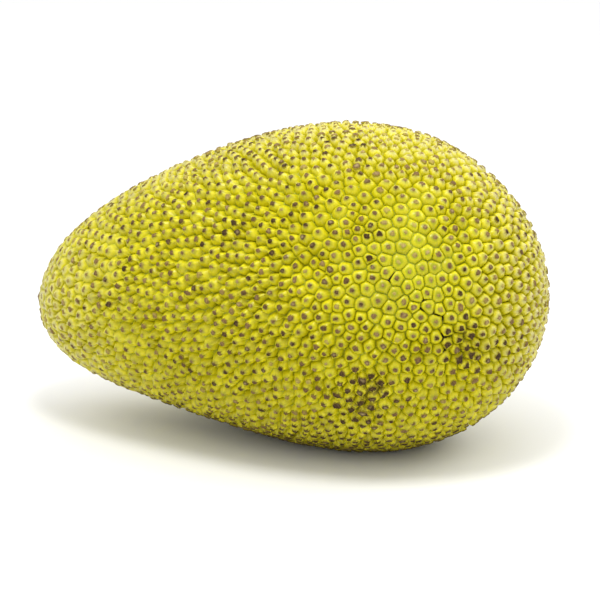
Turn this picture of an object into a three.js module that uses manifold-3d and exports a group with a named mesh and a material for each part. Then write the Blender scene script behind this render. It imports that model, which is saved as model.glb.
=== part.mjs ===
// A whole jackfruit lying on its side: one solid body, in millimetres, +Z up.
// The long axis runs along X, the narrow stalk end towards -X and the blunt end towards +X.
// The origin is the middle of the small flat spot that the fruit rests on.
import * as THREE from "three";
import { mergeVertices } from "three/addons/utils/BufferGeometryUtils.js";
import Module from "manifold-3d";

// Driving dimensions.
const AXIS_LENGTH = 360; // stalk end to blunt end, along the fruit's own axis
const MIDDLE_RADIUS = 105.4; // halfway along the axis, over the tips of the tubercles
const BLUNT_FULLNESS = 0.349; // how much fatter the blunt half is than the narrow one
const END_FULLNESS = 0.046; // how square both ends are
const NARROW_FULLNESS = -0.162; // takes the fullness back at the very ends
const ARCH_HEIGHT = 9.1; // how far the back of the fruit bows up between its ends
const ARCH_LEAN = -5.2; // moves the top of the bow towards the narrow end
const NARROW_END_DROP = THREE.MathUtils.degToRad(6); // how the axis tips down to the narrow end
const FLAT_DEPTH = 5; // how far the resting spot is pressed into the round of the underside
const MESH_DETAIL = 14; // how often each edge of the icosahedron is split

const RIND = new THREE.MeshStandardMaterial({
  color: 0xc2b723,
  roughness: 0.55,
  metalness: 0,
});

const wasm = await Module();
wasm.setup();

// The fruit's radius over the tubercles at a place along its axis, from -1 at the narrow end to 1 at the blunt end,
// as a multiple of a plain ellipse's radius there.
function fullness(along) {
  return (
    1 +
    BLUNT_FULLNESS * along +
    END_FULLNESS * along ** 2 +
    NARROW_FULLNESS * along ** 3
  );
}

// How far the axis is lifted by the bow of the fruit at a place along it.
function arch(along) {
  return (ARCH_HEIGHT + ARCH_LEAN * along) * (1 - along ** 2);
}

// The round body before its underside is pressed flat: a unit sphere whose every point is moved out to the fruit.
function roundBody() {
  const body = new THREE.IcosahedronGeometry(1, MESH_DETAIL);
  const point = body.attributes.position;
  for (let i = 0; i < point.count; i++) {
    const along = point.getX(i);
    const girth = MIDDLE_RADIUS * fullness(along);
    point.setXYZ(
      i,
      (along * AXIS_LENGTH) / 2,
      point.getY(i) * girth,
      point.getZ(i) * girth + arch(along),
    );
  }
  body.rotateY(-NARROW_END_DROP);
  return body;
}

// A closed geometry as a solid that can be cut.
function solidOf(geometry) {
  const bare = geometry.clone();
  bare.deleteAttribute("normal");
  bare.deleteAttribute("uv");
  const merged = mergeVertices(bare, 1e-3);
  return new wasm.Manifold(
    new wasm.Mesh({
      numProp: 3,
      vertProperties: merged.attributes.position.array,
      triVerts: new Uint32Array(merged.index.array),
    }),
  );
}

// A cut solid as a geometry again.
function geometryOf(solid) {
  const { vertProperties, triVerts } = solid.getMesh();
  const geometry = new THREE.BufferGeometry();
  geometry.setAttribute(
    "position",
    new THREE.BufferAttribute(vertProperties, 3),
  );
  geometry.setIndex(new THREE.BufferAttribute(triVerts, 1));
  geometry.computeVertexNormals();
  return geometry;
}

// Presses the underside flat with a ground block, and moves the body so that the flat's middle is the origin.
function restOnFlat(body) {
  body.computeBoundingBox();
  const size = body.boundingBox.getSize(new THREE.Vector3());
  const groundZ = body.boundingBox.min.z + FLAT_DEPTH;
  const ground = new THREE.BoxGeometry(2 * size.x, 2 * size.y, size.z);
  ground.translate(0, 0, groundZ - size.z / 2);
  const rested = geometryOf(solidOf(body).subtract(solidOf(ground)));
  const flat = new THREE.Box3();
  const point = new THREE.Vector3();
  for (let i = 0; i < rested.attributes.position.count; i++) {
    point.fromBufferAttribute(rested.attributes.position, i);
    if (point.z < groundZ + 1e-3) flat.expandByPoint(point);
  }
  const middle = flat.getCenter(new THREE.Vector3());
  rested.translate(-middle.x, -middle.y, -groundZ);
  return rested;
}

const fruit = new THREE.Mesh(restOnFlat(roundBody()), RIND);
fruit.name = "fruit";

const jackfruit = new THREE.Group();
jackfruit.add(fruit);

export default jackfruit;
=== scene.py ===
"""A whole ripe jackfruit on its side: its knobbly rind, the dried tips of its tubercles and its stalk scar.

Everything is in metres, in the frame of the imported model: +Z up, +X along the fruit towards its blunt end,
and the origin in the middle of the small flat spot that the fruit rests on.
"""

from __future__ import annotations

import bisect
import itertools
import logging
import math
import random
from dataclasses import dataclass, field
from enum import Enum
from typing import Any, Callable, Iterable, Sequence, Union

import bmesh
import bpy
from bmesh.types import BMesh, BMFace, BMVert
from mathutils import Matrix, Vector, noise
from mathutils.bvhtree import BVHTree


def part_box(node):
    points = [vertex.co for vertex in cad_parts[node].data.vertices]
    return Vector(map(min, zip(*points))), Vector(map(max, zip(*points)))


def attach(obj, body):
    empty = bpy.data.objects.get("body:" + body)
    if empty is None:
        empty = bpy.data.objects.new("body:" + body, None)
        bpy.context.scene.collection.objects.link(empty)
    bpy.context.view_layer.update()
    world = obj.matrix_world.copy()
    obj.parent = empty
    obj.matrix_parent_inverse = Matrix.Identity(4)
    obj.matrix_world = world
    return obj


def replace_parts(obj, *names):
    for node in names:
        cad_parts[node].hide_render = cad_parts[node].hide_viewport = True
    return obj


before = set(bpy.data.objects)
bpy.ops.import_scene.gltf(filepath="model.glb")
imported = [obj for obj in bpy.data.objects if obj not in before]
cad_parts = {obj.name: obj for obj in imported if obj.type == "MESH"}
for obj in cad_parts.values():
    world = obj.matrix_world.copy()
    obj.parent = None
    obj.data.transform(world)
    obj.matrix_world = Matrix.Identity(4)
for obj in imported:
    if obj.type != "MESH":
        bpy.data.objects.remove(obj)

LOG = logging.getLogger("jackfruit")
MM = 0.001
BODY = "root"
FRUIT_NODE = "fruit"
NOISE_SEED = 7  # without it Blender seeds its noise vectors from the clock
SAME_POINT = 0.001 * MM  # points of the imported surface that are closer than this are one
WORST_WEAR = 1.2

# these marks include a whitish painted sheen at both ends and along the top
RIND_MARKS = ("inward", "tone", "scuff_and_shade", "crack", "green", "stain", "painted_sheen")
TIP_MARKS = ("shade", "pit", "rim")

Colour = tuple[float, float, float]
Span = tuple[float, float]
Number = Union[float, "Wire"]


# ------------------------------------------------------------------------------------------- shader helpers


class Wire:
    """An output socket of a material, with operators that add the Math nodes that an expression needs."""

    def __init__(self, sheet: Shader, socket: bpy.types.NodeSocket) -> None:
        """Keeps the shader that the socket belongs to and the socket itself."""
        self.sheet = sheet
        self.socket = socket

    def _math(self, operation: str, first: Number, second: Number, clamp: bool = False) -> Wire:
        """Adds one Math node.

        Args:
            operation: the Math node's operation, such as "ADD".
            first: its first number or wire.
            second: its second number or wire.
            clamp: whether the answer is held between 0 and 1.

        Returns:
            The node's answer as a wire.
        """
        settings = {"operation": operation, "use_clamp": clamp}
        return self.sheet.add("ShaderNodeMath", settings, {0: first, 1: second})

    def __add__(self, other: Number) -> Wire:
        """Self plus other."""
        return self._math("ADD", self, other)

    def __radd__(self, other: Number) -> Wire:
        """Other plus self."""
        return self._math("ADD", other, self)

    def __sub__(self, other: Number) -> Wire:
        """Self minus other."""
        return self._math("SUBTRACT", self, other)

    def __rsub__(self, other: Number) -> Wire:
        """Other minus self."""
        return self._math("SUBTRACT", other, self)

    def __mul__(self, other: Number) -> Wire:
        """Self times other."""
        return self._math("MULTIPLY", self, other)

    def __rmul__(self, other: Number) -> Wire:
        """Other times self."""
        return self._math("MULTIPLY", other, self)

    def clamped(self) -> Wire:
        """Self held between 0 and 1."""
        return self._math("ADD", self, 0.0, clamp=True)

    def swing(self, amount: float) -> Wire:
        """How far self is from one half, times an amount."""
        return (self - 0.5) * amount

    def between(self, low: float, high: float) -> Wire:
        """A smooth step of self.

        Args:
            low: the value at which the step starts; it may be above high, for a step down.
            high: the value at which the step ends.

        Returns:
            A wire that runs from 0 at low to 1 at high.
        """
        settings = {"interpolation_type": "SMOOTHSTEP", "clamp": True}
        inputs = {"Value": self, "From Min": low, "From Max": high}
        return self.sheet.add("ShaderNodeMapRange", settings, inputs)


class Shader:
    """A material and the nodes that are added to it."""

    def __init__(self, name: str) -> None:
        """Makes an empty material with an output node.

        Args:
            name: the material's name.
        """
        self.material = bpy.data.materials.new(name)
        self.material.use_nodes = True
        self.tree = self.material.node_tree
        self.tree.nodes.clear()
        self.output = self.tree.nodes.new("ShaderNodeOutputMaterial")

    def add(
        self,
        kind: str,
        settings: dict[str, Any] | None = None,
        inputs: dict[int | str, Any] | None = None,
        output: int | str = 0,
    ) -> Wire:
        """Adds a node of any kind.

        Args:
            kind: the node's type, such as "ShaderNodeTexNoise".
            settings: its properties, set first; "stops" holds a colour ramp's positions and colours.
            inputs: values or wires for its sockets, by number, name or identifier.
            output: which of its outputs to give back.

        Returns:
            The chosen output as a wire.
        """
        node = self.tree.nodes.new(kind)
        for name, value in (settings or {}).items():
            if name == "stops":
                self._set_stops(node.color_ramp, value)
            else:
                setattr(node, name, value)
        for name, value in (inputs or {}).items():
            socket = self._socket(node.inputs, name)
            if isinstance(value, Wire):
                self.tree.links.new(value.socket, socket)
            else:
                socket.default_value = value
        return Wire(self, self._socket(node.outputs, output))

    @staticmethod
    def _socket(sockets: Any, name: int | str) -> bpy.types.NodeSocket:
        """Finds a socket.

        Args:
            sockets: a node's inputs or outputs.
            name: the socket's number, identifier or name.

        Returns:
            The socket.
        """
        if isinstance(name, int):
            return sockets[name]
        return next((s for s in sockets if s.identifier == name), None) or sockets[name]

    @staticmethod
    def _set_stops(ramp: bpy.types.ColorRamp, stops: Sequence[tuple[float, Colour]]) -> None:
        """Gives a colour ramp its positions and colours.

        Args:
            ramp: the ramp, which starts with two stops.
            stops: each stop's position and colour, from first to last.
        """
        while len(ramp.elements) < len(stops):
            ramp.elements.new(1.0)
        for element, (position, colour) in zip(ramp.elements, stops):
            element.position = position
            element.color = (*colour, 1.0)

    def place(self) -> Wire:
        """The object coordinates of the surface."""
        return self.add("ShaderNodeTexCoord", output="Object")

    def grain(
        self, size: float, detail: float = 2.0, roughness: float = 0.5, distortion: float = 0.0
    ) -> Wire:
        """Noise over the surface.

        Args:
            size: the size of its features in metres.
            detail: how many finer layers it has.
            roughness: how strong the finer layers are.
            distortion: how much it swirls.

        Returns:
            A wire around 0.5.
        """
        inputs = {"Vector": self.place(), "Scale": 1.0 / size, "Detail": detail}
        inputs |= {"Roughness": roughness, "Distortion": distortion}
        return self.add("ShaderNodeTexNoise", {"noise_dimensions": "3D"}, inputs)

    def attribute(self, name: str) -> Wire:
        """A number that the mesh carries at its points."""
        return self.add("ShaderNodeAttribute", {"attribute_name": name}, output="Fac")

    def ramp(self, factor: Wire, stops: Sequence[tuple[float, Colour]]) -> Wire:
        """A colour that runs through the stops as the factor goes from 0 to 1."""
        return self.add("ShaderNodeValToRGB", {"stops": stops}, {"Fac": factor}, output="Color")

    def mix(self, first: Any, second: Any, factor: Number) -> Wire:
        """Mixes two colours.

        Args:
            first: the colour or wire at factor 0.
            second: the colour or wire at factor 1.
            factor: how much of the second there is.

        Returns:
            The mixed colour as a wire.
        """
        colours = [c if isinstance(c, Wire) else (*c, 1.0) for c in (first, second)]
        settings = {"data_type": "RGBA", "blend_type": "MIX", "clamp_factor": True}
        inputs = {"Factor_Float": factor, "A_Color": colours[0], "B_Color": colours[1]}
        return self.add("ShaderNodeMix", settings, inputs, output="Result_Color")

    def scaled(self, colour: Wire, factor: Wire) -> Wire:
        """A colour made brighter or darker by a factor."""
        return self.add("ShaderNodeVectorMath", {"operation": "SCALE"}, {"Vector": colour, "Scale": factor})

    def bump(self, height: Wire, depth: float) -> Wire:
        """Small relief from a height between 0 and 1, with its full depth in metres."""
        return self.add("ShaderNodeBump", inputs={"Height": height, "Distance": depth, "Strength": 1.0})

    def finish(self, inputs: dict[int | str, Any]) -> bpy.types.Material:
        """Adds the Principled shader and links it to the output.

        Args:
            inputs: values or wires for its sockets.

        Returns:
            The finished material.
        """
        surface = self.add("ShaderNodeBsdfPrincipled", inputs=inputs)
        self.tree.links.new(surface.socket, self.output.inputs["Surface"])
        return self.material


# ------------------------------------------------------------------------------------------------- finishes


@dataclass(frozen=True)
class RindFinish:
    """The waxy yellow-green skin: greener in the grooves, and darker there as painted shade, brighter on
    the shoulders, olive round each tip, with a whitish painted sheen at both ends and along the top.

    A level is how far up a tubercle a place is, from 0 in the groove to 1 at the tip. A span is where a
    smooth step starts and ends. A swing is how strongly a mottle or the specks sway what they are added to.
    """

    # the groove colour is the grooves' own green, made darker as painted shade
    groove: Colour = (0.350, 0.375, 0.030)
    foot: Colour = (0.520, 0.510, 0.012)
    flank: Colour = (0.590, 0.530, 0.004)
    shoulder: Colour = (0.660, 0.590, 0.016)
    levels: tuple[float, ...] = (0.0, 0.08, 0.22, 0.48)  # where the four colours above are
    green: Colour = (0.510, 0.480, 0.002)  # the green patch
    halo: Colour = (0.350, 0.385, 0.006)  # round each tip
    moss: Colour = (0.370, 0.420, 0.030)  # the grooves of the green patch
    fold: Colour = (0.430, 0.380, 0.004)  # a deeper yellow for the grooves where the painted sheen lies
    painted_sheen: Colour = (0.635, 0.570, 0.290)  # whitish painted sheen
    stain: Colour = (0.230, 0.150, 0.040)  # beside the darker tips
    scuff_and_shade: Colour = (0.120, 0.078, 0.026)  # bruises, and near the floor a brown ground stain with painted shade
    char: Colour = (0.032, 0.022, 0.010)  # cracks
    mottle_size: float = 1.6 * MM
    speck_size: float = 2.4 * MM
    fine_size: float = 0.7 * MM
    patch_size: float = 34 * MM
    crack_size: float = 5 * MM
    level_swing: float = 0.09
    patch_span: Span = (0.42, 0.72)
    patch_green: float = 0.25
    green_share: float = 0.7
    halo_span: Span = (0.45, 0.85)
    halo_share: float = 0.50
    halo_in_green: float = 0.45
    moss_span: Span = (0.20, 0.0)
    darkest: float = 0.80
    tone_share: float = 0.22
    tone_swing: float = 0.30
    fold_share: float = 1.5
    fold_span: Span = (0.45, 0.0)
    sheen_span: Span = (0.25, 0.80)
    sheen_share: float = 0.85
    sheen_swing: float = 1.2
    stain_swing: float = 0.6
    stain_span: Span = (0.60, 1.05)
    speck_start: float = 0.64
    speck_contrast: float = 4.0
    scuff_and_shade_on_tops: float = 0.7
    scuff_and_shade_span: Span = (0.35, 1.25)
    scuff_and_shade_share: float = 0.7
    crack_gaps: Span = (0.36, 0.58)
    crack_depth: Span = (0.64, 0.94)
    crack_swing: float = 0.5
    crack_edge: Span = (0.25, 0.75)
    roughness: float = 0.28
    scuff_roughness: float = 0.25
    fine_roughness: float = 0.15
    shine: float = 0.26
    glow: float = 0.35
    glow_reach: Colour = (0.0022, 0.0020, 0.0005)
    fine_relief: float = 0.2
    mottle_relief: float = 0.8
    relief: float = 0.13 * MM

    def material(self) -> bpy.types.Material:
        """Makes the rind's material.

        Returns:
            The material.
        """
        shader = Shader("rind_skin")
        inward, tone, scuff_and_shade, crack, green, stain, painted_sheen = (shader.attribute(name) for name in RIND_MARKS)
        mottle = shader.grain(self.mottle_size, detail=3.0, roughness=0.6)
        specks = shader.grain(self.speck_size, detail=4.0, roughness=0.7, distortion=0.5)
        fine = shader.grain(self.fine_size, detail=3.0, roughness=0.6)
        level = (inward + mottle.swing(self.level_swing)).clamped()
        colour = self._greened(shader, level, green)
        brightness = self.darkest + tone * self.tone_share + mottle.swing(self.tone_swing)
        colour = shader.scaled(colour, brightness)
        # a whitish painted sheen over the tubercles at both ends and along the top
        colour = self._with_painted_sheen(shader, colour, level, painted_sheen, mottle)
        tipward = (inward + specks.swing(self.stain_swing)).between(*self.stain_span)
        colour = shader.mix(colour, self.stain, tipward * stain)
        depth = 1.0 - inward
        # browned by specks and bruises, and near the floor by a ground stain with painted shade
        specked = (specks - self.speck_start) * self.speck_contrast
        browned_and_shaded = (specked + scuff_and_shade * (self.scuff_and_shade_on_tops + depth)).between(*self.scuff_and_shade_span)
        colour = shader.mix(colour, self.scuff_and_shade, browned_and_shaded * self.scuff_and_shade_share)
        broken = shader.grain(self.crack_size, detail=2.0).between(*self.crack_gaps) * crack
        split = broken * depth.between(*self.crack_depth) + specks.swing(self.crack_swing) * broken
        colour = shader.mix(colour, self.char, split.between(*self.crack_edge))
        rough = self.roughness + browned_and_shaded * self.scuff_roughness + fine.swing(self.fine_roughness)
        height = fine * self.fine_relief + mottle * self.mottle_relief
        return shader.finish(
            {
                "Base Color": colour,
                "Roughness": rough,
                "Specular IOR Level": self.shine,
                "Subsurface Weight": self.glow,
                "Subsurface Radius": self.glow_reach,
                "Subsurface Scale": 1.0,
                "Normal": shader.bump(height, self.relief),
            }
        )

    def _greened(self, shader: Shader, level: Wire, green: Wire) -> Wire:
        """The fresh skin's colour, with painted shade darkening its grooves.

        Args:
            shader: the rind's shader.
            level: how far up a tubercle the surface is.
            green: how green the rind is there.

        Returns:
            The colour, with the green patch, the olive round the tips and the green grooves.
        """
        # from groove to shoulder the colour lightens: the darker grooves are painted shade over their own
        # green
        colours = (self.groove, self.foot, self.flank, self.shoulder)
        colour = shader.ramp(level, list(zip(self.levels, colours)))
        patches = shader.grain(self.patch_size, detail=2.0).between(*self.patch_span)
        greener = (self.patch_green * patches + green).clamped()
        colour = shader.mix(colour, self.green, greener * self.green_share)
        haloed = level.between(*self.halo_span) * (self.halo_share + self.halo_in_green * green)
        colour = shader.mix(colour, self.halo, haloed)
        return shader.mix(colour, self.moss, (green * level.between(*self.moss_span)).clamped())

    def _with_painted_sheen(self, shader: Shader, colour: Wire, level: Wire, painted_sheen: Wire, mottle: Wire) -> Wire:
        """The skin's colour with a whitish painted sheen laid over it.

        Args:
            shader: the rind's shader.
            colour: the colour of the bare skin.
            level: how far up a tubercle the surface is.
            painted_sheen: how strong the whitish painted sheen is there.
            mottle: the grain that the painted sheen is uneven by.

        Returns:
            The colour, with a whitish painted sheen on the tubercles and a deeper yellow in their grooves
            where it lies.
        """
        folded = (painted_sheen * self.fold_share * level.between(*self.fold_span)).clamped()
        sheened = level.between(*self.sheen_span) * (self.sheen_share + mottle.swing(self.sheen_swing))
        return shader.mix(shader.mix(colour, self.fold, folded), self.painted_sheen, (painted_sheen * sheened).clamped())


@dataclass(frozen=True)
class TipFinish:
    """The dried brown end of each tubercle, paler in its pit and yellower where its rim meets the rind."""

    dark: Colour = (0.046, 0.027, 0.011)
    brown: Colour = (0.200, 0.121, 0.048)
    pale: Colour = (0.40, 0.32, 0.07)
    pit: Colour = (0.42, 0.32, 0.15)
    rim: Colour = (0.40, 0.33, 0.03)
    mottle_size: float = 1.1 * MM
    shade_swing: float = 1.3
    pit_patch: float = 7 * MM  # the size of the patches of tips whose pits are pale
    pit_span: Span = (0.50, 0.72)
    pit_share: float = 0.3
    rim_share: float = 1.1
    roughness: float = 0.7
    roughness_swing: float = 0.2
    shine: float = 0.06
    relief: float = 0.25 * MM

    def material(self) -> bpy.types.Material:
        """Makes the tips' material.

        Returns:
            The material.
        """
        shader = Shader("dried_tip")
        tone, pit, rim = (shader.attribute(name) for name in TIP_MARKS)
        mottle = shader.grain(self.mottle_size, detail=3.0, roughness=0.65)
        shade = (tone + mottle.swing(self.shade_swing)).clamped()
        colour = shader.ramp(shade, [(0.0, self.dark), (0.5, self.brown), (1.0, self.pale)])
        paled = shader.grain(self.pit_patch, detail=1.0).between(*self.pit_span)
        colour = shader.mix(colour, self.pit, (pit * paled * (self.pit_share + mottle)).clamped())
        colour = shader.mix(colour, self.rim, (rim * (self.rim_share + mottle)).clamped())
        return shader.finish(
            {
                "Base Color": colour,
                "Roughness": self.roughness + mottle.swing(self.roughness_swing),
                "Specular IOR Level": self.shine,
                "Normal": shader.bump(mottle, self.relief),
            }
        )


@dataclass(frozen=True)
class ScarFinish:
    """The corky wood where the stalk came off, with darker fibres and patches."""

    cork: Colour = (0.34, 0.25, 0.13)
    fibre: Colour = (0.10, 0.062, 0.030)
    fibre_size: float = 0.9 * MM
    fibre_span: Span = (0.4, 0.65)
    fibre_share: float = 0.6
    patch_size: float = 4 * MM
    patch_span: Span = (0.4, 0.7)
    patch_share: float = 0.4
    roughness: float = 0.82
    roughness_swing: float = 0.1
    shine: float = 0.2
    relief: float = 0.8 * MM

    def material(self) -> bpy.types.Material:
        """Makes the stalk scar's material.

        Returns:
            The material.
        """
        shader = Shader("corky_scar")
        fibre = shader.grain(self.fibre_size, detail=5.0, roughness=0.7, distortion=1.2)
        patches = shader.grain(self.patch_size, detail=2.0, distortion=0.8).between(*self.patch_span)
        darker = fibre.between(*self.fibre_span) * self.fibre_share + patches * self.patch_share
        return shader.finish(
            {
                "Base Color": shader.mix(self.cork, self.fibre, darker.clamped()),
                "Roughness": self.roughness + fibre.swing(self.roughness_swing),
                "Specular IOR Level": self.shine,
                "Normal": shader.bump(fibre, self.relief),
            }
        )


@dataclass(frozen=True)
class FloorFinish:
    """The plain pale floor, with the faintest change of tone."""

    pale: Colour = (0.84, 0.84, 0.84)
    paler: Colour = (0.86, 0.86, 0.855)
    cloud_size: float = 0.4
    roughness: float = 0.7
    roughness_swing: float = 0.05
    shine: float = 0.2

    def material(self) -> bpy.types.Material:
        """Makes the floor's material.

        Returns:
            The material.
        """
        shader = Shader("pale_floor")
        cloud = shader.grain(self.cloud_size, detail=2.0)
        return shader.finish(
            {
                "Base Color": shader.mix(self.pale, self.paler, cloud),
                "Roughness": self.roughness + cloud.swing(self.roughness_swing),
                "Specular IOR Level": self.shine,
            }
        )


# ------------------------------------------------------------------------------------------ the smooth skin


class Skin:
    """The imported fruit's smooth surface, which every detail is laid on."""

    def __init__(self, node: bpy.types.Object) -> None:
        """Reads the CAD node's surface and finds its middle and its two ends.

        Args:
            node: the fruit's CAD node.
        """
        self.mesh = bmesh.new()
        self.mesh.from_mesh(node.data)
        bmesh.ops.remove_doubles(self.mesh, verts=self.mesh.verts, dist=SAME_POINT)
        self.tree = BVHTree.FromBMesh(self.mesh)
        low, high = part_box(node.name)
        self.middle = (low + high) / 2
        points = [vert.co.copy() for vert in self.mesh.verts]
        self.stalk_end = min(points, key=lambda point: point.x)
        self.blunt_end = max(points, key=lambda point: point.x)
        self.length = (self.blunt_end - self.stalk_end).length
        self.axis = (self.blunt_end - self.stalk_end).normalized()

    def under(self, point: Vector) -> Vector:
        """The surface's point in the direction of a point, seen from the fruit's middle."""
        return self.tree.ray_cast(self.middle, point - self.middle)[0]

    def along(self, point: Vector) -> float:
        """How far along the fruit a point is, from 0 at the stalk end to 1 at the blunt end."""
        return (point - self.stalk_end).dot(self.axis) / self.length

    def at(self, along: float, around: float) -> Vector:
        """The surface's point at a place along and around the fruit.

        Args:
            along: from 0 at the stalk end to 1 at the blunt end.
            around: degrees round the axis, 0 at the top and growing towards -Y.

        Returns:
            The point on the surface.
        """
        up = Vector((0, 0, 1)) - self.axis * self.axis.z
        outward = Matrix.Rotation(math.radians(around), 3, self.axis) @ up
        return self.tree.ray_cast(self.stalk_end.lerp(self.blunt_end, along), outward)[0]

    def scattered(self, spacing: Callable[[Vector], float], tries: int, seed: int) -> list[Vector]:
        """Points strewn over the surface that keep clear of each other.

        Args:
            spacing: gives the least distance that a point keeps at a place.
            tries: how many points are tried.
            seed: the seed of the random numbers.

        Returns:
            The points that found room.
        """
        rng = random.Random(seed)
        faces = list(self.mesh.faces)
        reach = list(itertools.accumulate(face.calc_area() for face in faces))
        box = max(spacing(vert.co) for vert in self.mesh.verts)
        near = list(itertools.product((-1, 0, 1), repeat=3))
        kept: dict[tuple[int, ...], list[Vector]] = {}
        points: list[Vector] = []
        for _ in range(tries):
            face = faces[bisect.bisect(reach, rng.random() * reach[-1])]
            a, b = sorted((rng.random(), rng.random()))
            corners = [loop.vert.co for loop in face.loops]
            point = corners[0] * a + corners[1] * (b - a) + corners[2] * (1 - b)
            home = tuple(math.floor(c / box) for c in point)
            others = (kept.get((home[0] + i, home[1] + j, home[2] + k), ()) for i, j, k in near)
            gap = spacing(point)
            if all((point - other).length >= gap for other in itertools.chain.from_iterable(others)):
                kept.setdefault(home, []).append(point)
                points.append(point)
        return points


# ----------------------------------------------------------------------------------------------- the pieces


class Mark(Enum):
    """The kinds of wear on the rind."""

    BRUISE = "bruise"
    CRACK = "crack"
    GREEN = "green"


# the bruise mark also holds a brown ground stain and painted shade near the floor
WEAR_MARKS = {"scuff_and_shade": Mark.BRUISE, "crack": Mark.CRACK, "green": Mark.GREEN}


@dataclass(frozen=True)
class Blemish:
    """A worn place: its kind, where it is along and around the fruit, its width and its strength."""

    kind: Mark
    along: float
    around: float
    width: float
    strength: float


BLEMISHES = (
    Blemish(Mark.GREEN, along=0.82, around=64, width=38 * MM, strength=0.9),
    Blemish(Mark.BRUISE, along=0.75, around=108, width=9 * MM, strength=0.9),
    Blemish(Mark.BRUISE, along=0.715, around=117, width=21 * MM, strength=0.95),
    Blemish(Mark.BRUISE, along=0.90, around=91, width=10 * MM, strength=0.8),
    Blemish(Mark.BRUISE, along=0.90, around=106, width=15 * MM, strength=0.7),
    Blemish(Mark.BRUISE, along=0.945, around=110, width=15 * MM, strength=0.55),
    Blemish(Mark.BRUISE, along=0.75, around=53, width=6 * MM, strength=0.9),
    Blemish(Mark.BRUISE, along=0.752, around=62.8, width=5 * MM, strength=0.8),
    Blemish(Mark.BRUISE, along=0.69, around=17, width=8 * MM, strength=0.6),
    Blemish(Mark.BRUISE, along=0.652, around=7.3, width=7 * MM, strength=0.5),
    Blemish(Mark.BRUISE, along=0.419, around=72.5, width=7 * MM, strength=0.8),
    Blemish(Mark.BRUISE, along=0.49, around=51.5, width=8 * MM, strength=0.7),
    Blemish(Mark.CRACK, along=0.837, around=78, width=6 * MM, strength=1.3),
    Blemish(Mark.CRACK, along=0.865, around=83, width=5 * MM, strength=1.3),
    Blemish(Mark.CRACK, along=0.872, around=91, width=6 * MM, strength=1.3),
    Blemish(Mark.CRACK, along=0.865, around=100, width=6 * MM, strength=1.3),
    Blemish(Mark.CRACK, along=0.789, around=68, width=4 * MM, strength=1.2),
    Blemish(Mark.CRACK, along=0.76, around=64, width=3 * MM, strength=1.2),
)


@dataclass(frozen=True)
class StrewnWear:
    """Small bruises and cracks strewn over one side of the fruit."""

    count: int
    low: float  # degrees round the axis at which the side starts, counted as in Skin.at
    high: float
    seed: int
    crack_every: int = 4
    crack_width: Span = (4, 6)  # in mm, as is the next
    bruise_width: Span = (5, 13)
    along: Span = (0.12, 0.92)
    strength: Span = (0.6, 1.1)

    def blemishes(self) -> tuple[Blemish, ...]:
        """Draws a kind, a place, a width and a strength for each.

        Returns:
            The blemishes.
        """
        rng = random.Random(self.seed)
        strewn = []
        for number in range(self.count):
            kind = Mark.BRUISE if number % self.crack_every else Mark.CRACK
            width = rng.uniform(*(self.crack_width if kind is Mark.CRACK else self.bruise_width))
            place = (rng.uniform(*self.along), rng.uniform(self.low, self.high))
            strewn.append(Blemish(kind, *place, width * MM, rng.uniform(*self.strength)))
        return tuple(strewn)


@dataclass(frozen=True)
class Ring:
    """A ring of points on a tubercle: how far in from the groove it is, how far up, and how round."""

    inward: float
    rise: float
    roundness: float


@dataclass
class Tubercle:
    """One blunt spike of the rind: its place on the skin, its shape, its looks and its rings of points."""

    middle: Vector
    normal: Vector
    radius: float
    drop: float
    lean: Vector
    pointed: float
    tone: float
    tip_tone: float
    bare: bool
    rings: list[list[BMVert]] = field(default_factory=list)
    crown: Vector = field(default_factory=Vector)


def rising(value: float, start: float, length: float) -> float:
    """A value's share of the way from a start to a length beyond it, held between 0 and 1."""
    return min(max((value - start) / length, 0.0), 1.0)


def meeting_point(a: Vector, b: Vector, c: Vector) -> Vector:
    """Where three even grooves meet, in the middle of three tubercles.

    Args:
        a: the place of one tubercle.
        b: the place of the second.
        c: the place of the third.

    Returns:
        The point that is as far from one of them as from the others.
    """
    ab, ac = b - a, c - a
    across = ab.cross(ac)
    reach = across.cross(ab) * ac.length_squared + ac.cross(across) * ab.length_squared
    return a + reach / (2 * across.length_squared)


def new_object(name: str, mesh: BMesh, material: bpy.types.Material) -> bpy.types.Object:
    """Turns a bmesh into an object of the scene.

    Args:
        name: the object's name.
        mesh: its mesh, which is freed.
        material: its finish.

    Returns:
        The new object, at the origin.
    """
    data = bpy.data.meshes.new(name)
    mesh.to_mesh(data)
    mesh.free()
    data.materials.append(material)
    item = bpy.data.objects.new(name, data)
    bpy.context.scene.collection.objects.link(item)
    return item


def finished_piece(name: str, mesh: BMesh, material: bpy.types.Material) -> bpy.types.Object:
    """Turns a bmesh into a smooth-shaded piece that rides on the fruit's body.

    Args:
        name: the piece's name.
        mesh: its mesh, which is freed.
        material: its finish.

    Returns:
        The piece, at the origin.
    """
    for face in mesh.faces:
        face.smooth = True
    piece = new_object(name, mesh, material)
    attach(piece, BODY)
    data = piece.data
    data.calc_loop_triangles()
    LOG.info("%s: %d faces, %d triangles", name, len(data.polygons), len(data.loop_triangles))
    return piece


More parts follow.
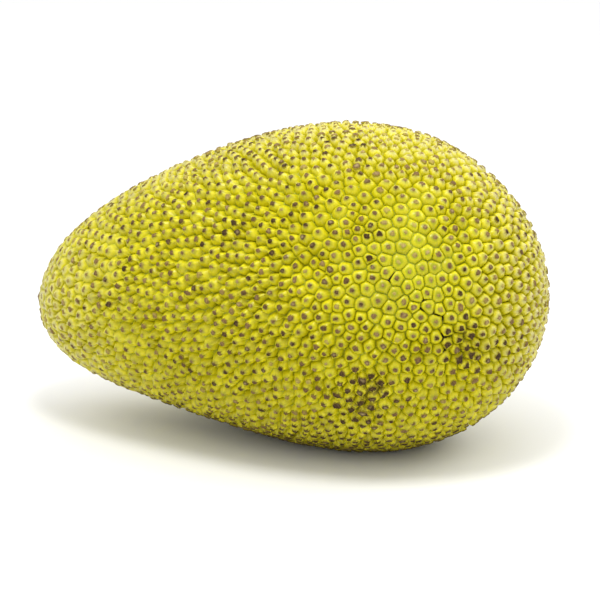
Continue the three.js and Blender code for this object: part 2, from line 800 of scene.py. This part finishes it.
@dataclass(frozen=True)
class Growth:
    """How the tubercles vary over the fruit.

    A part is where along the fruit a change starts and over what length of it, both as shares of the
    fruit's length, or the length alone where it starts at the stalk end. A rate is how many units of noise
    there are in a metre. A scatter is a standard deviation.
    """

    pointedness: float = 0.85
    blunt_part: Span = (0.5, 0.25)
    blunt_flattening: float = 0.3
    green_flattening: float = 0.45
    lean_to_stalk: float = 0.75 * MM
    lean_part: float = 0.35
    lean_spread: float = 0.55 * MM
    lean_rate: float = 45.0
    lean_scatter: float = 0.45
    drop: float = 0.55  # from the smooth surface down to a crown, in mm, as are its swing and its scatter
    drop_swing: float = 0.45
    drop_rate: float = 60.0
    drop_scatter: float = 0.25
    groove_depth: float = 6.7 * MM
    groove_rate: float = 110.0
    usual_groove: float = 0.95
    least_groove: float = 0.15
    merging: float = 0.45  # how much the groove's depth varies, so that some tubercles run together
    stalk_merging: float = 0.35
    merging_part: float = 0.4
    stalk_groove: float = 0.40
    groove_growth: float = 1.43
    green_filling: float = 0.6
    scar_clearance: float = 9.5 * MM
    scar_reach: float = 3.0  # how many clearances away the grooves have their full depth
    scar_groove: float = 0.1
    scar_curve: float = 1.5
    fan_place: Span = (0.77, 62.0)  # where the ridges fan out from, as in Skin.at
    fan_reach: Span = (26 * MM, 48 * MM)
    fan_sharpness: int = 4
    ridge_part: Span = (0.6, 0.25)
    ridge_fading: float = 0.4
    ridge_height: float = 0.76
    ridge_tone: float = 0.5


@dataclass(frozen=True)
class Ageing:
    """How the painted sheen, the dried tips and the darkening near the floor, a ground stain with painted
    shade, vary over the fruit, in Growth's terms.
    """

    painted_sheen_strength: float = 0.85
    stalk_sheen: float = 0.28
    blunt_sheen: Span = (0.90, 0.1)
    top_sheen: Span = (0.78, 0.27)  # painted sheen on the upward-facing top: from how steeply up the rind faces, and over what more
    tip_tone: float = 0.38
    narrow_part: float = 0.35
    narrow_paling: float = 0.7
    green_paling: float = 0.35
    sheen_paling: float = 0.25
    bruise_and_shade_darkening: float = 1.2
    tone_swing: float = 0.4
    tone_rate: float = 22.0
    tone_scatter: float = 0.2
    # darkening towards the floor: a brown ground stain and painted shade
    ground_stain_and_shade: float = 1.0
    stain_and_shade_height: float = 30 * MM
    stain_and_shade_curve: float = 0.7


@dataclass
class Rind:
    """The knobbly rind: some three thousand tubercles packed side by side over the whole fruit."""

    skin: Skin
    blemishes: tuple[Blemish, ...] = ()
    spacing: float = 6.0 * MM
    end_spacing: float = 6.9 * MM
    narrow_spacing: float = 7.3 * MM
    crowded_place: float = 0.55  # where along the fruit the tubercles stand closest
    crowded_reach: float = 0.5
    spacing_curve: float = 1.8
    half_way: float = 0.54
    edge_waver: float = 0.35 * MM
    waver_rate: float = 400.0
    corner_reach: float = 0.7
    even_rounds: int = 2
    darts: int = 60000
    seed: int = 11
    first_inset: float = 0.02 * MM  # between the rings until they are raised
    pointed_roundness: float = 0.5
    round_radius: float = 0.95
    rings: tuple[Ring, ...] = (
        Ring(0.055, 0.42, 0.0),
        Ring(0.18, 0.82, 0.12),
        Ring(0.45, 0.97, 0.48),
        Ring(0.75, 1.00, 1.0),
    )
    growth: Growth = Growth()
    ageing: Ageing = Ageing()
    finish: RindFinish = RindFinish()
    tubercles: list[Tubercle] = field(default_factory=list)

    def __post_init__(self) -> None:
        """Finds the blemishes' places on the skin and the place that the ridges fan out from."""
        self.worn_places = [(mark, self.skin.at(mark.along, mark.around)) for mark in self.blemishes]
        self.fan_place = self.skin.at(*self.growth.fan_place)

    def shape(self) -> None:
        """Makes the rind's mesh, which the tips are grown from before it is dressed."""
        self.mesh = self._net(self._seeds())
        layers = self.mesh.faces.layers.int
        self.crown_faces, self.half = layers.new("crown"), layers.new("half")
        self.owner = self.mesh.verts.layers.int.new("owner")
        self.depth, self.ridge = (self.mesh.verts.layers.float.new(name) for name in ("depth", "ridge"))
        self.marks = {name: self.mesh.verts.layers.float.new(name) for name in RIND_MARKS}
        cells = list(self.mesh.faces)
        self._waver_edges()
        self._read_depths()
        self._read_cells(cells)
        self._cut_rings(cells)
        self._raise_tubercles()
        LOG.info("%d tubercles", len(self.tubercles))

    def dress(self) -> None:
        """Turns the mesh into the finished rind, in two halves that meet in a groove."""
        skin = self.finish.material()
        for number, name in enumerate(("rind_stalk_half", "rind_blunt_half")):
            mesh = self.mesh.copy()
            half = mesh.faces.layers.int["half"]
            others = [face for face in mesh.faces if face[half] != number]
            bmesh.ops.delete(mesh, geom=others, context="FACES")
            self._close(mesh)
            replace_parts(finished_piece(name, mesh, skin), FRUIT_NODE)

    @staticmethod
    def _close(mesh: BMesh) -> None:
        """Closes the open end of a half with a wall inside the fruit, so that each half is a solid shell.

        Args:
            mesh: the half.
        """
        seam = [edge for edge in mesh.edges if edge.is_boundary]
        for edge in seam:
            edge.smooth = False
        wall = bmesh.ops.holes_fill(mesh, edges=seam)["faces"]
        bmesh.ops.poke(mesh, faces=wall)
        bmesh.ops.recalc_face_normals(mesh, faces=mesh.faces)

    def wear(self, kind: Mark, point: Vector) -> float:
        """How worn the rind is at a point; near the floor the bruising holds a ground stain and painted
        shade.

        Args:
            kind: the kind of wear.
            point: a place on the skin.

        Returns:
            0 where it is sound, up to WORST_WEAR.
        """
        total = 0.0
        if kind is Mark.BRUISE:
            # near the floor the rind darkens as if bruised: partly a brown ground stain, partly painted shade
            lowness = max(0.0, 1 - point.z / self.ageing.stain_and_shade_height)
            total += self.ageing.ground_stain_and_shade * lowness**self.ageing.stain_and_shade_curve
        for mark, centre in self.worn_places:
            if mark.kind is kind:
                total += mark.strength * math.exp(-(((point - centre).length / mark.width) ** 2))
        return min(total, WORST_WEAR)

    def _painted_sheen(self, point: Vector) -> float:
        """How strong the whitish painted sheen is at a point: it is painted at both ends and along the top.

        Args:
            point: a place on the skin.

        Returns:
            0 where there is none, up to 1.
        """
        ageing, along = self.ageing, self.skin.along(point)
        outward = (point - self.skin.stalk_end.lerp(self.skin.blunt_end, along)).normalized()
        (blunt, blunt_reach), (top, top_reach) = ageing.blunt_sheen, ageing.top_sheen
        ends = max(1 - along / ageing.stalk_sheen, (along - blunt) / blunt_reach)
        return ageing.painted_sheen_strength * max(ends, (outward.z - top) / top_reach, 0.0)

    def _spacing(self, point: Vector) -> float:
        """How close tubercles may stand: they stand further apart towards the ends.

        Args:
            point: a place on the skin.

        Returns:
            The least distance between two of them there.
        """
        off_middle = (self.skin.along(point) - self.crowded_place) / self.crowded_reach
        end = self.end_spacing if off_middle > 0 else self.narrow_spacing
        return self.spacing + (end - self.spacing) * abs(off_middle) ** self.spacing_curve

    def _seeds(self) -> list[Vector]:
        """Where the tubercles stand: strewn over the skin, then moved until they are evenly packed.

        Returns:
            A place on the skin for each tubercle.
        """
        points = self.skin.scattered(self._spacing, self.darts, self.seed)
        for _ in range(self.even_rounds):
            net = self._net(points)
            points = [face.calc_center_median_weighted() for face in net.faces]
            net.free()
        return points

    def _net(self, points: Iterable[Vector]) -> BMesh:
        """A net of many-sided cells over the skin, one round each point.

        Args:
            points: the middles of the cells.

        Returns:
            The net: each triangle of the points' hull becomes a corner where three grooves meet.
        """
        mesh = bmesh.new()
        for point in points:
            mesh.verts.new((point - self.skin.middle).normalized())
        bmesh.ops.convex_hull(mesh, input=mesh.verts)
        for vert in mesh.verts:
            vert.co = self.skin.under(self.skin.middle + vert.co)
        seeds, edges = list(mesh.verts), list(mesh.edges)
        corners = bmesh.ops.poke(mesh, faces=mesh.faces)["verts"]
        around = [[edge.other_vert(vert).co.copy() for edge in vert.link_edges] for vert in corners]
        meetings = [meeting_point(*three) for three in around]
        places = [vert.co.lerp(point, self.corner_reach) for vert, point in zip(corners, meetings)]
        bmesh.ops.rotate_edges(mesh, edges=edges, use_ccw=False)
        bmesh.ops.dissolve_verts(mesh, verts=seeds)
        for vert, place in zip(corners, places):
            vert.co = self.skin.under(place)
        bmesh.ops.recalc_face_normals(mesh, faces=mesh.faces)
        return mesh

    def _waver_edges(self) -> None:
        """Gives every groove a point halfway, moved a little sideways."""
        cut = bmesh.ops.bisect_edges(self.mesh, edges=self.mesh.edges, cuts=1)["geom_split"]
        for vert in (item for item in cut if isinstance(item, BMVert)):
            waver = noise.noise_vector(vert.co * self.waver_rate) * self.edge_waver
            vert.co = self.skin.under(vert.co + waver)

    def _read_depths(self) -> None:
        """Keeps the depth of the groove at every point of the net, for the rings that are cut later."""
        self.mesh.normal_update()
        for vert in self.mesh.verts:
            vert[self.ridge] = self._ridge(vert)
            vert[self.depth] = self._depth(vert.co) * (1 - self.growth.ridge_height * vert[self.ridge])

    def _ridge(self, vert: BMVert) -> float:
        """How far the two tubercles beside a point of the net are joined in a ridge.

        Args:
            vert: a point of the net, with two cells beside it or three round it.

        Returns:
            Up to 1 where the two stand one behind the other, as seen from where the ridges fan out.
        """
        if len(vert.link_faces) != 2:
            return 0.0
        one, other = (face.calc_center_median() for face in vert.link_faces)
        fan = vert.co - self.fan_place
        reach = rising(fan.length, *self.growth.fan_reach)
        blunt = rising(self.skin.along(vert.co), *self.growth.ridge_part)
        fan -= vert.normal * fan.dot(vert.normal)
        in_line = (one - other).normalized().dot(fan.normalized()) ** self.growth.fan_sharpness
        return in_line * reach * (1 - self.growth.ridge_fading * blunt)

    def _depth(self, point: Vector) -> float:
        """How deep the groove is at a point: shallow where tubercles run together and round the scar.

        Args:
            point: a place on the skin.

        Returns:
            The depth, before any ridge.
        """
        growth, along = self.growth, self.skin.along(point)
        merging = growth.merging + growth.stalk_merging * max(0.0, 1 - along / growth.merging_part)
        unevenness = merging * noise.noise(point * growth.groove_rate)
        wave = max(growth.least_groove, growth.usual_groove + unevenness)
        narrow = min(1.0, growth.stalk_groove + growth.groove_growth * max(0.0, along))
        flat = 1 - growth.green_filling * self.wear(Mark.GREEN, point)
        off_scar = (point - self.skin.stalk_end).length / (growth.scar_reach * growth.scar_clearance)
        near_scar = min(1.0, growth.scar_groove + off_scar**growth.scar_curve)
        return growth.groove_depth * wave * narrow * flat * near_scar

    def _read_cells(self, cells: list[BMFace]) -> None:
        """Gives each cell of the net its tubercle and its half of the fruit.

        Args:
            cells: the net's faces.
        """
        rng = random.Random(self.seed + 1)
        self.mesh.normal_update()
        for cell in cells:
            self.tubercles.append(self._tubercle(cell, rng))
            cell[self.half] = int(self.skin.along(self.tubercles[-1].middle) > self.half_way)

    def _tubercle(self, cell: BMFace, rng: random.Random) -> Tubercle:
        """Works out one tubercle.

        Args:
            cell: the face of the net that it stands on.
            rng: where its random differences are drawn from.

        Returns:
            The tubercle, without its rings of points.
        """
        growth, middle, normal = self.growth, cell.calc_center_median(), cell.normal.copy()
        along = self.skin.along(middle)
        radius = sum((vert.co - middle).length for vert in cell.verts) / len(cell.verts)
        flattening = growth.green_flattening * self.wear(Mark.GREEN, middle)
        pointed = growth.pointedness * (1 - growth.blunt_flattening * rising(along, *growth.blunt_part))
        stalkward = growth.lean_to_stalk * min(1.0, along / growth.lean_part)
        lean = noise.noise_vector(middle * growth.lean_rate) * growth.lean_spread
        lean -= self.skin.axis * stalkward
        lean += Vector([rng.gauss(0, growth.lean_scatter) for _ in range(3)]) * growth.lean_spread
        lean -= normal * lean.dot(normal)
        drop = growth.drop + growth.drop_swing * noise.noise(middle * growth.drop_rate)
        drop = (drop + abs(rng.gauss(0, growth.drop_scatter))) * MM
        tip_tone = self._tip_tone(middle) + rng.gauss(0, self.ageing.tone_scatter)
        return Tubercle(
            middle=middle,
            normal=normal,
            radius=radius,
            drop=drop,
            lean=lean,
            pointed=max(0.0, pointed - flattening),
            tone=rng.random(),
            tip_tone=min(max(tip_tone, 0.0), 1.0),
            bare=(middle - self.skin.stalk_end).length < growth.scar_clearance,
        )

    def _tip_tone(self, point: Vector) -> float:
        """How pale the dried tips are at a point: palest at the narrow end and where the rind is green, paler
        under the painted sheen, darker on bruises and near the floor, there as ground stain and painted
        shade.

        Args:
            point: a place on the skin.

        Returns:
            0 for the darkest to 1 for the palest, and past them at the extremes.
        """
        ageing, green, bruise = self.ageing, self.wear(Mark.GREEN, point), self.wear(Mark.BRUISE, point)
        narrow = max(0.0, ageing.narrow_part - self.skin.along(point))
        pale = ageing.tip_tone + ageing.narrow_paling * narrow + ageing.green_paling * green
        pale += ageing.tone_swing * noise.noise(point * ageing.tone_rate)
        return pale + ageing.sheen_paling * self._painted_sheen(point) - ageing.bruise_and_shade_darkening * bruise

    def _cut_rings(self, cells: list[BMFace]) -> None:
        """Insets every cell once for each ring, keeps the rings' points and marks the crowns.

        Args:
            cells: the net's faces, in the tubercles' order.
        """
        for _ in self.rings:
            bmesh.ops.inset_individual(
                self.mesh, faces=cells, thickness=self.first_inset, use_even_offset=False
            )
            for tubercle, cell in zip(self.tubercles, cells):
                tubercle.rings.append([loop.vert for loop in cell.loops])
        for number, (tubercle, cell) in enumerate(zip(self.tubercles, cells)):
            cell[self.crown_faces] = int(not tubercle.bare)
            for vert in tubercle.rings[-1]:
                vert[self.owner] = number

    def _raise_tubercles(self) -> None:
        """Moves the net's points down into the grooves and the rings up to the tubercles' crowns."""
        ringed = {vert for tubercle in self.tubercles for ring in tubercle.rings for vert in ring}
        corners = [vert for vert in self.mesh.verts if vert not in ringed]
        for vert in self.mesh.verts:
            for name, kind in WEAR_MARKS.items():
                vert[self.marks[name]] = self.wear(kind, vert.co)
            # the strength of the whitish painted sheen, for the rind's finish
            vert[self.marks["painted_sheen"]] = self._painted_sheen(vert.co)
            vert[self.marks["inward"]] = self.growth.ridge_tone * vert[self.ridge]
            vert[self.marks["tone"]] = 0.5
        outwards = [sum((face.normal for face in vert.link_faces), Vector()).normalized() for vert in corners]
        for tubercle in self.tubercles:
            for ring, verts in zip(self.rings, tubercle.rings):
                for vert in verts:
                    self._raise(vert, ring, tubercle)
            crown = tubercle.rings[-1]
            tubercle.crown = sum((vert.co for vert in crown), Vector()) / len(crown)
        for vert, outward in zip(corners, outwards):
            vert.co -= outward * vert[self.depth]
        for vert in self.mesh.verts:
            vert.co.z = max(vert.co.z, 0.0)

    def _raise(self, vert: BMVert, ring: Ring, tubercle: Tubercle) -> None:
        """Moves a point of a ring to its place on its tubercle, and marks it for the finish.

        Args:
            vert: the point, still on the net.
            ring: its ring.
            tubercle: the tubercle that the ring goes round.
        """
        level = ring.inward / self.rings[-1].inward
        spread = vert.co - tubercle.middle
        roundness = ring.roundness + (1 - ring.roundness) * self.pointed_roundness * tubercle.pointed
        reach = spread.length + (tubercle.radius * self.round_radius - spread.length) * roundness
        rise = ring.rise + (level - ring.rise) * tubercle.pointed
        height = -vert[self.depth] * (1 - rise) - tubercle.drop * rise
        vert.co = (
            tubercle.middle
            + spread.normalized() * reach * (1 - ring.inward)
            + tubercle.normal * height
            + tubercle.lean * ring.rise
        )
        vert[self.marks["inward"]] = max(level, vert[self.marks["inward"]])
        vert[self.marks["tone"]] = tubercle.tone
        vert[self.marks["stain"]] = 1.0 - tubercle.tip_tone


@dataclass(frozen=True)
class TipRing:
    """A ring of points on a dried tip.

    It has its share of the tip's radius, its height over the crown, how much higher it is on a pointed
    tubercle, and its share of the pit's and of the rim's colour.
    """

    spread: float
    height: float
    dome: float
    pit: float
    rim: float


@dataclass(frozen=True)
class TipLook:
    """One tip's radius, the way that it is stretched and how much, and how ragged its outline is."""

    size: float
    turn: Vector
    stretch: float
    ragged: float


@dataclass
class Tips:
    """The dried brown tips: the withered end of each flower that made a tubercle."""

    rind: Rind
    radius: float = 1.48 * MM
    size_scatter: float = 0.12
    worn_growth: float = 0.38
    narrow_growth: float = 0.28
    narrow_part: float = 0.3
    raggedness: float = 0.5
    worn_raggedness: float = 0.6
    stretch_scatter: float = 0.22
    worn_scatter: float = 0.1
    outline_detail: float = 1.6
    outline_shift: float = 1000.0  # moves each tip far through the noise, so that no two outlines match
    seed: int = 23
    rings: tuple[TipRing, ...] = (
        TipRing(1.18, -0.42 * MM, -0.80 * MM, 0.0, 1.0),
        TipRing(0.94, 0.06 * MM, -0.12 * MM, 0.0, 0.0),
        TipRing(0.0, 0.05 * MM, 0.32 * MM, 1.0, 0.0),
    )
    finish: TipFinish = TipFinish()

    def build(self) -> bpy.types.Object:
        """Builds and dresses the tips, one on every tubercle that isn't under the stalk scar.

        Returns:
            The tips, as one piece.
        """
        mesh = self.rind.mesh.copy()
        level = mesh.verts.layers.int.new("level")
        for name in TIP_MARKS:
            mesh.verts.layers.float.new(name)
        crown = mesh.faces.layers.int["crown"]
        bmesh.ops.delete(mesh, geom=[face for face in mesh.faces if not face[crown]], context="FACES")
        raised = bmesh.ops.extrude_face_region(mesh, geom=list(mesh.faces), use_keep_orig=True)["geom"]
        tops = [item for item in raised if isinstance(item, BMFace)]
        owner = mesh.verts.layers.int["owner"]
        for face in tops:
            for vert in face.verts:
                vert[level] = 1
        for vert in bmesh.ops.poke(mesh, faces=tops)["verts"]:
            vert[level] = 2
            vert[owner] = vert.link_edges[0].other_vert(vert)[owner]
        self._place(mesh, level)
        bmesh.ops.recalc_face_normals(mesh, faces=mesh.faces)
        return finished_piece("dried_tips", mesh, self.finish.material())

    def _looks(self) -> list[TipLook]:
        """Draws the tips' looks: larger and more ragged on worn rind, and larger at the narrow end.

        Returns:
            A look for each tubercle.
        """
        rng = random.Random(self.seed)
        looks = []
        for tubercle in self.rind.tubercles:
            wear = self.rind.wear(Mark.BRUISE, tubercle.middle)
            narrow = max(0.0, 1 - self.rind.skin.along(tubercle.middle) / self.narrow_part)
            growth = 1 + self.worn_growth * wear + self.narrow_growth * narrow
            size = self.radius * rng.lognormvariate(0, self.size_scatter) * growth
            turn = Vector([rng.gauss(0, 1) for _ in range(3)]).normalized()
            stretch = 1 + max(0.0, rng.gauss(0, self.stretch_scatter + self.worn_scatter * wear))
            looks.append(TipLook(size, turn, stretch, self.raggedness * (1 + self.worn_raggedness * wear)))
        return looks

    def _place(self, mesh: BMesh, level: Any) -> None:
        """Moves the tips' points to their places on the crowns, and marks them for the finish.

        Args:
            mesh: the tips' mesh, with every point still on its crown.
            level: the layer with the number of each point's ring.
        """
        looks = self._looks()
        owner = mesh.verts.layers.int["owner"]
        tone, pit, rim = (mesh.verts.layers.float[name] for name in TIP_MARKS)
        for vert in mesh.verts:
            tubercle, look = self.rind.tubercles[vert[owner]], looks[vert[owner]]
            ring = self.rings[vert[level]]
            spread = vert.co - tubercle.crown
            spread -= tubercle.normal * spread.dot(tubercle.normal)
            spread = spread.normalized()
            outline = noise.noise(spread * self.outline_detail + tubercle.middle * self.outline_shift)
            spread *= look.size * (1 + look.ragged * outline) * ring.spread
            spread += look.turn * spread.dot(look.turn) * (look.stretch - 1)
            spread -= tubercle.normal * spread.dot(tubercle.normal)
            height = ring.height + ring.dome * tubercle.pointed
            vert.co = tubercle.crown + spread + tubercle.normal * height
            vert.co.z = max(vert.co.z, 0.0)
            vert[tone] = tubercle.tip_tone
            vert[pit] = ring.pit
            vert[rim] = ring.rim


@dataclass
class StalkScar:
    """The round corky scar at the narrow end, where the stalk broke off, nearly flush with the rind."""

    skin: Skin
    radius: float = 8.5 * MM
    proud: float = 0.8 * MM
    dish: float = 2.0 * MM
    steps: int = 28
    seam: float = 0.01 * MM
    unevenness: float = 0.7  # in mm
    uneven_rate: float = 260.0
    finish: ScarFinish = ScarFinish()

    def build(self) -> bpy.types.Object:
        """Builds and dresses the scar.

        Returns:
            The scar, as one piece.
        """
        mesh = bmesh.new()
        dished = [(0.0, -self.dish), (0.30, -0.8 * self.dish), (0.55, -0.2 * self.dish)]
        lip = [(0.72, self.proud), (0.86, 0.9 * self.proud)]
        buried = [(1.0, -1 * MM), (1.02, -4 * MM), (0.0, -6 * MM)]
        profile = dished + lip + buried
        points = [mesh.verts.new((share * self.radius, 0, height)) for share, height in profile]
        edges = [mesh.edges.new(pair) for pair in itertools.pairwise(points)]
        bmesh.ops.spin(
            mesh,
            geom=points + edges,
            cent=(0, 0, 0),
            axis=(0, 0, 1),
            angle=math.tau,
            steps=self.steps,
            use_merge=True,
        )
        bmesh.ops.remove_doubles(mesh, verts=mesh.verts, dist=self.seam)
        bmesh.ops.recalc_face_normals(mesh, faces=mesh.faces)
        bmesh.ops.subdivide_edges(mesh, edges=mesh.edges, cuts=1, use_grid_fill=True)
        for vert in mesh.verts:
            vert.co += noise.noise_vector(vert.co * self.uneven_rate) * self.unevenness * MM
        turn = (-self.skin.axis).to_track_quat("Z", "Y").to_matrix().to_4x4()
        place = Matrix.Translation(self.skin.stalk_end) @ turn
        bmesh.ops.transform(mesh, matrix=place, verts=mesh.verts)
        return finished_piece("stalk_scar", mesh, self.finish.material())


# ----------------------------------------------------------------------------------------------- the studio


@dataclass(frozen=True)
class SoftLight:
    """A square soft light that points at the fruit."""

    name: str
    turn: float
    height: float
    distance: float
    width: float
    power: float


def direction(turn: float, height: float) -> Vector:
    """A direction from the fruit.

    Args:
        turn: degrees round Z, 0 towards -Y and growing towards +X.
        height: degrees above the floor.

    Returns:
        The direction, of length 1.
    """
    a, e = math.radians(turn), math.radians(height)
    return Vector((math.sin(a) * math.cos(e), -math.cos(a) * math.cos(e), math.sin(e)))


@dataclass
class Studio:
    """A pale floor, soft lights, a white surround and the camera."""

    aim: Vector = field(default_factory=lambda: Vector((-33.3, -1.0, 93.2)) * MM)
    camera_turn: float = 18.0
    camera_height: float = 15.0
    camera_distance: float = 1.5
    lens: float = 133.6  # in mm, as is the next
    sensor_width: float = 36.0
    farthest_view: float = 100.0
    floor_width: float = 24.0
    floor_squares: int = 8
    surround: float = 0.92
    ceiling: float = 1.26
    lights: tuple[SoftLight, ...] = (
        SoftLight("key_light", turn=10, height=68, distance=0.75, width=0.22, power=2.9),
        SoftLight("left_light", turn=-90, height=35, distance=1.6, width=0.8, power=1.2),
        SoftLight("right_light", turn=125, height=35, distance=1.6, width=0.8, power=7),
    )

    def build(self) -> None:
        """Builds the studio."""
        self._floor()
        self._surround()
        for light in self.lights:
            data = bpy.data.lights.new(light.name, "AREA")
            data.size = light.width
            data.energy = light.power
            self._placed(light.name, data, direction(light.turn, light.height), light.distance)
        data = bpy.data.cameras.new("camera")
        data.lens = self.lens
        data.sensor_width = self.sensor_width
        data.clip_end = self.farthest_view
        toward = direction(self.camera_turn, self.camera_height)
        bpy.context.scene.camera = self._placed("camera", data, toward, self.camera_distance)
        bpy.context.scene.view_settings.view_transform = "Standard"

    def _placed(self, name: str, data: Any, toward: Vector, distance: float) -> bpy.types.Object:
        """Puts a light or a camera on one side of the fruit, pointing at it.

        Args:
            name: the object's name.
            data: the light's or the camera's settings.
            toward: the direction from the fruit to it.
            distance: how far away it is.

        Returns:
            The new object.
        """
        item = bpy.data.objects.new(name, data)
        item.location = self.aim + toward * distance
        item.rotation_euler = (-toward).to_track_quat("-Z", "Y").to_euler()
        bpy.context.scene.collection.objects.link(item)
        return item

    def _floor(self) -> None:
        """The floor that the fruit rests on."""
        mesh = bmesh.new()
        squares = self.floor_squares
        bmesh.ops.create_grid(mesh, x_segments=squares, y_segments=squares, size=self.floor_width / 2)
        floor = new_object("floor", mesh, FloorFinish().material())

    def _surround(self) -> None:
        """The even white light from all round, brightest overhead."""
        world = bpy.data.worlds.new("surround")
        world.use_nodes = True
        nodes, links = world.node_tree.nodes, world.node_tree.links
        way = nodes.new("ShaderNodeTexCoord")
        parts = nodes.new("ShaderNodeSeparateXYZ")
        ramp = nodes.new("ShaderNodeMapRange")
        ramp.interpolation_type = "SMOOTHSTEP"
        ramp.inputs["To Min"].default_value = self.surround
        ramp.inputs["To Max"].default_value = self.ceiling
        links.new(way.outputs["Generated"], parts.inputs[0])
        links.new(parts.outputs["Z"], ramp.inputs["Value"])
        background = nodes["Background"]
        background.inputs["Color"].default_value = (1, 1, 1, 1)
        links.new(ramp.outputs["Result"], background.inputs["Strength"])
        bpy.context.scene.world = world


def main() -> None:
    """Builds the fruit and the studio round it."""
    logging.basicConfig(level=logging.INFO, format="%(name)s: %(message)s")
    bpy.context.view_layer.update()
    noise.seed_set(NOISE_SEED)
    skin = Skin(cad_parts[FRUIT_NODE])
    rind = Rind(skin, BLEMISHES + StrewnWear(count=16, low=195, high=340, seed=41).blemishes())
    rind.shape()
    Tips(rind).build()
    rind.dress()
    StalkScar(skin).build()
    Studio().build()


if __name__ == "__main__":
    main()
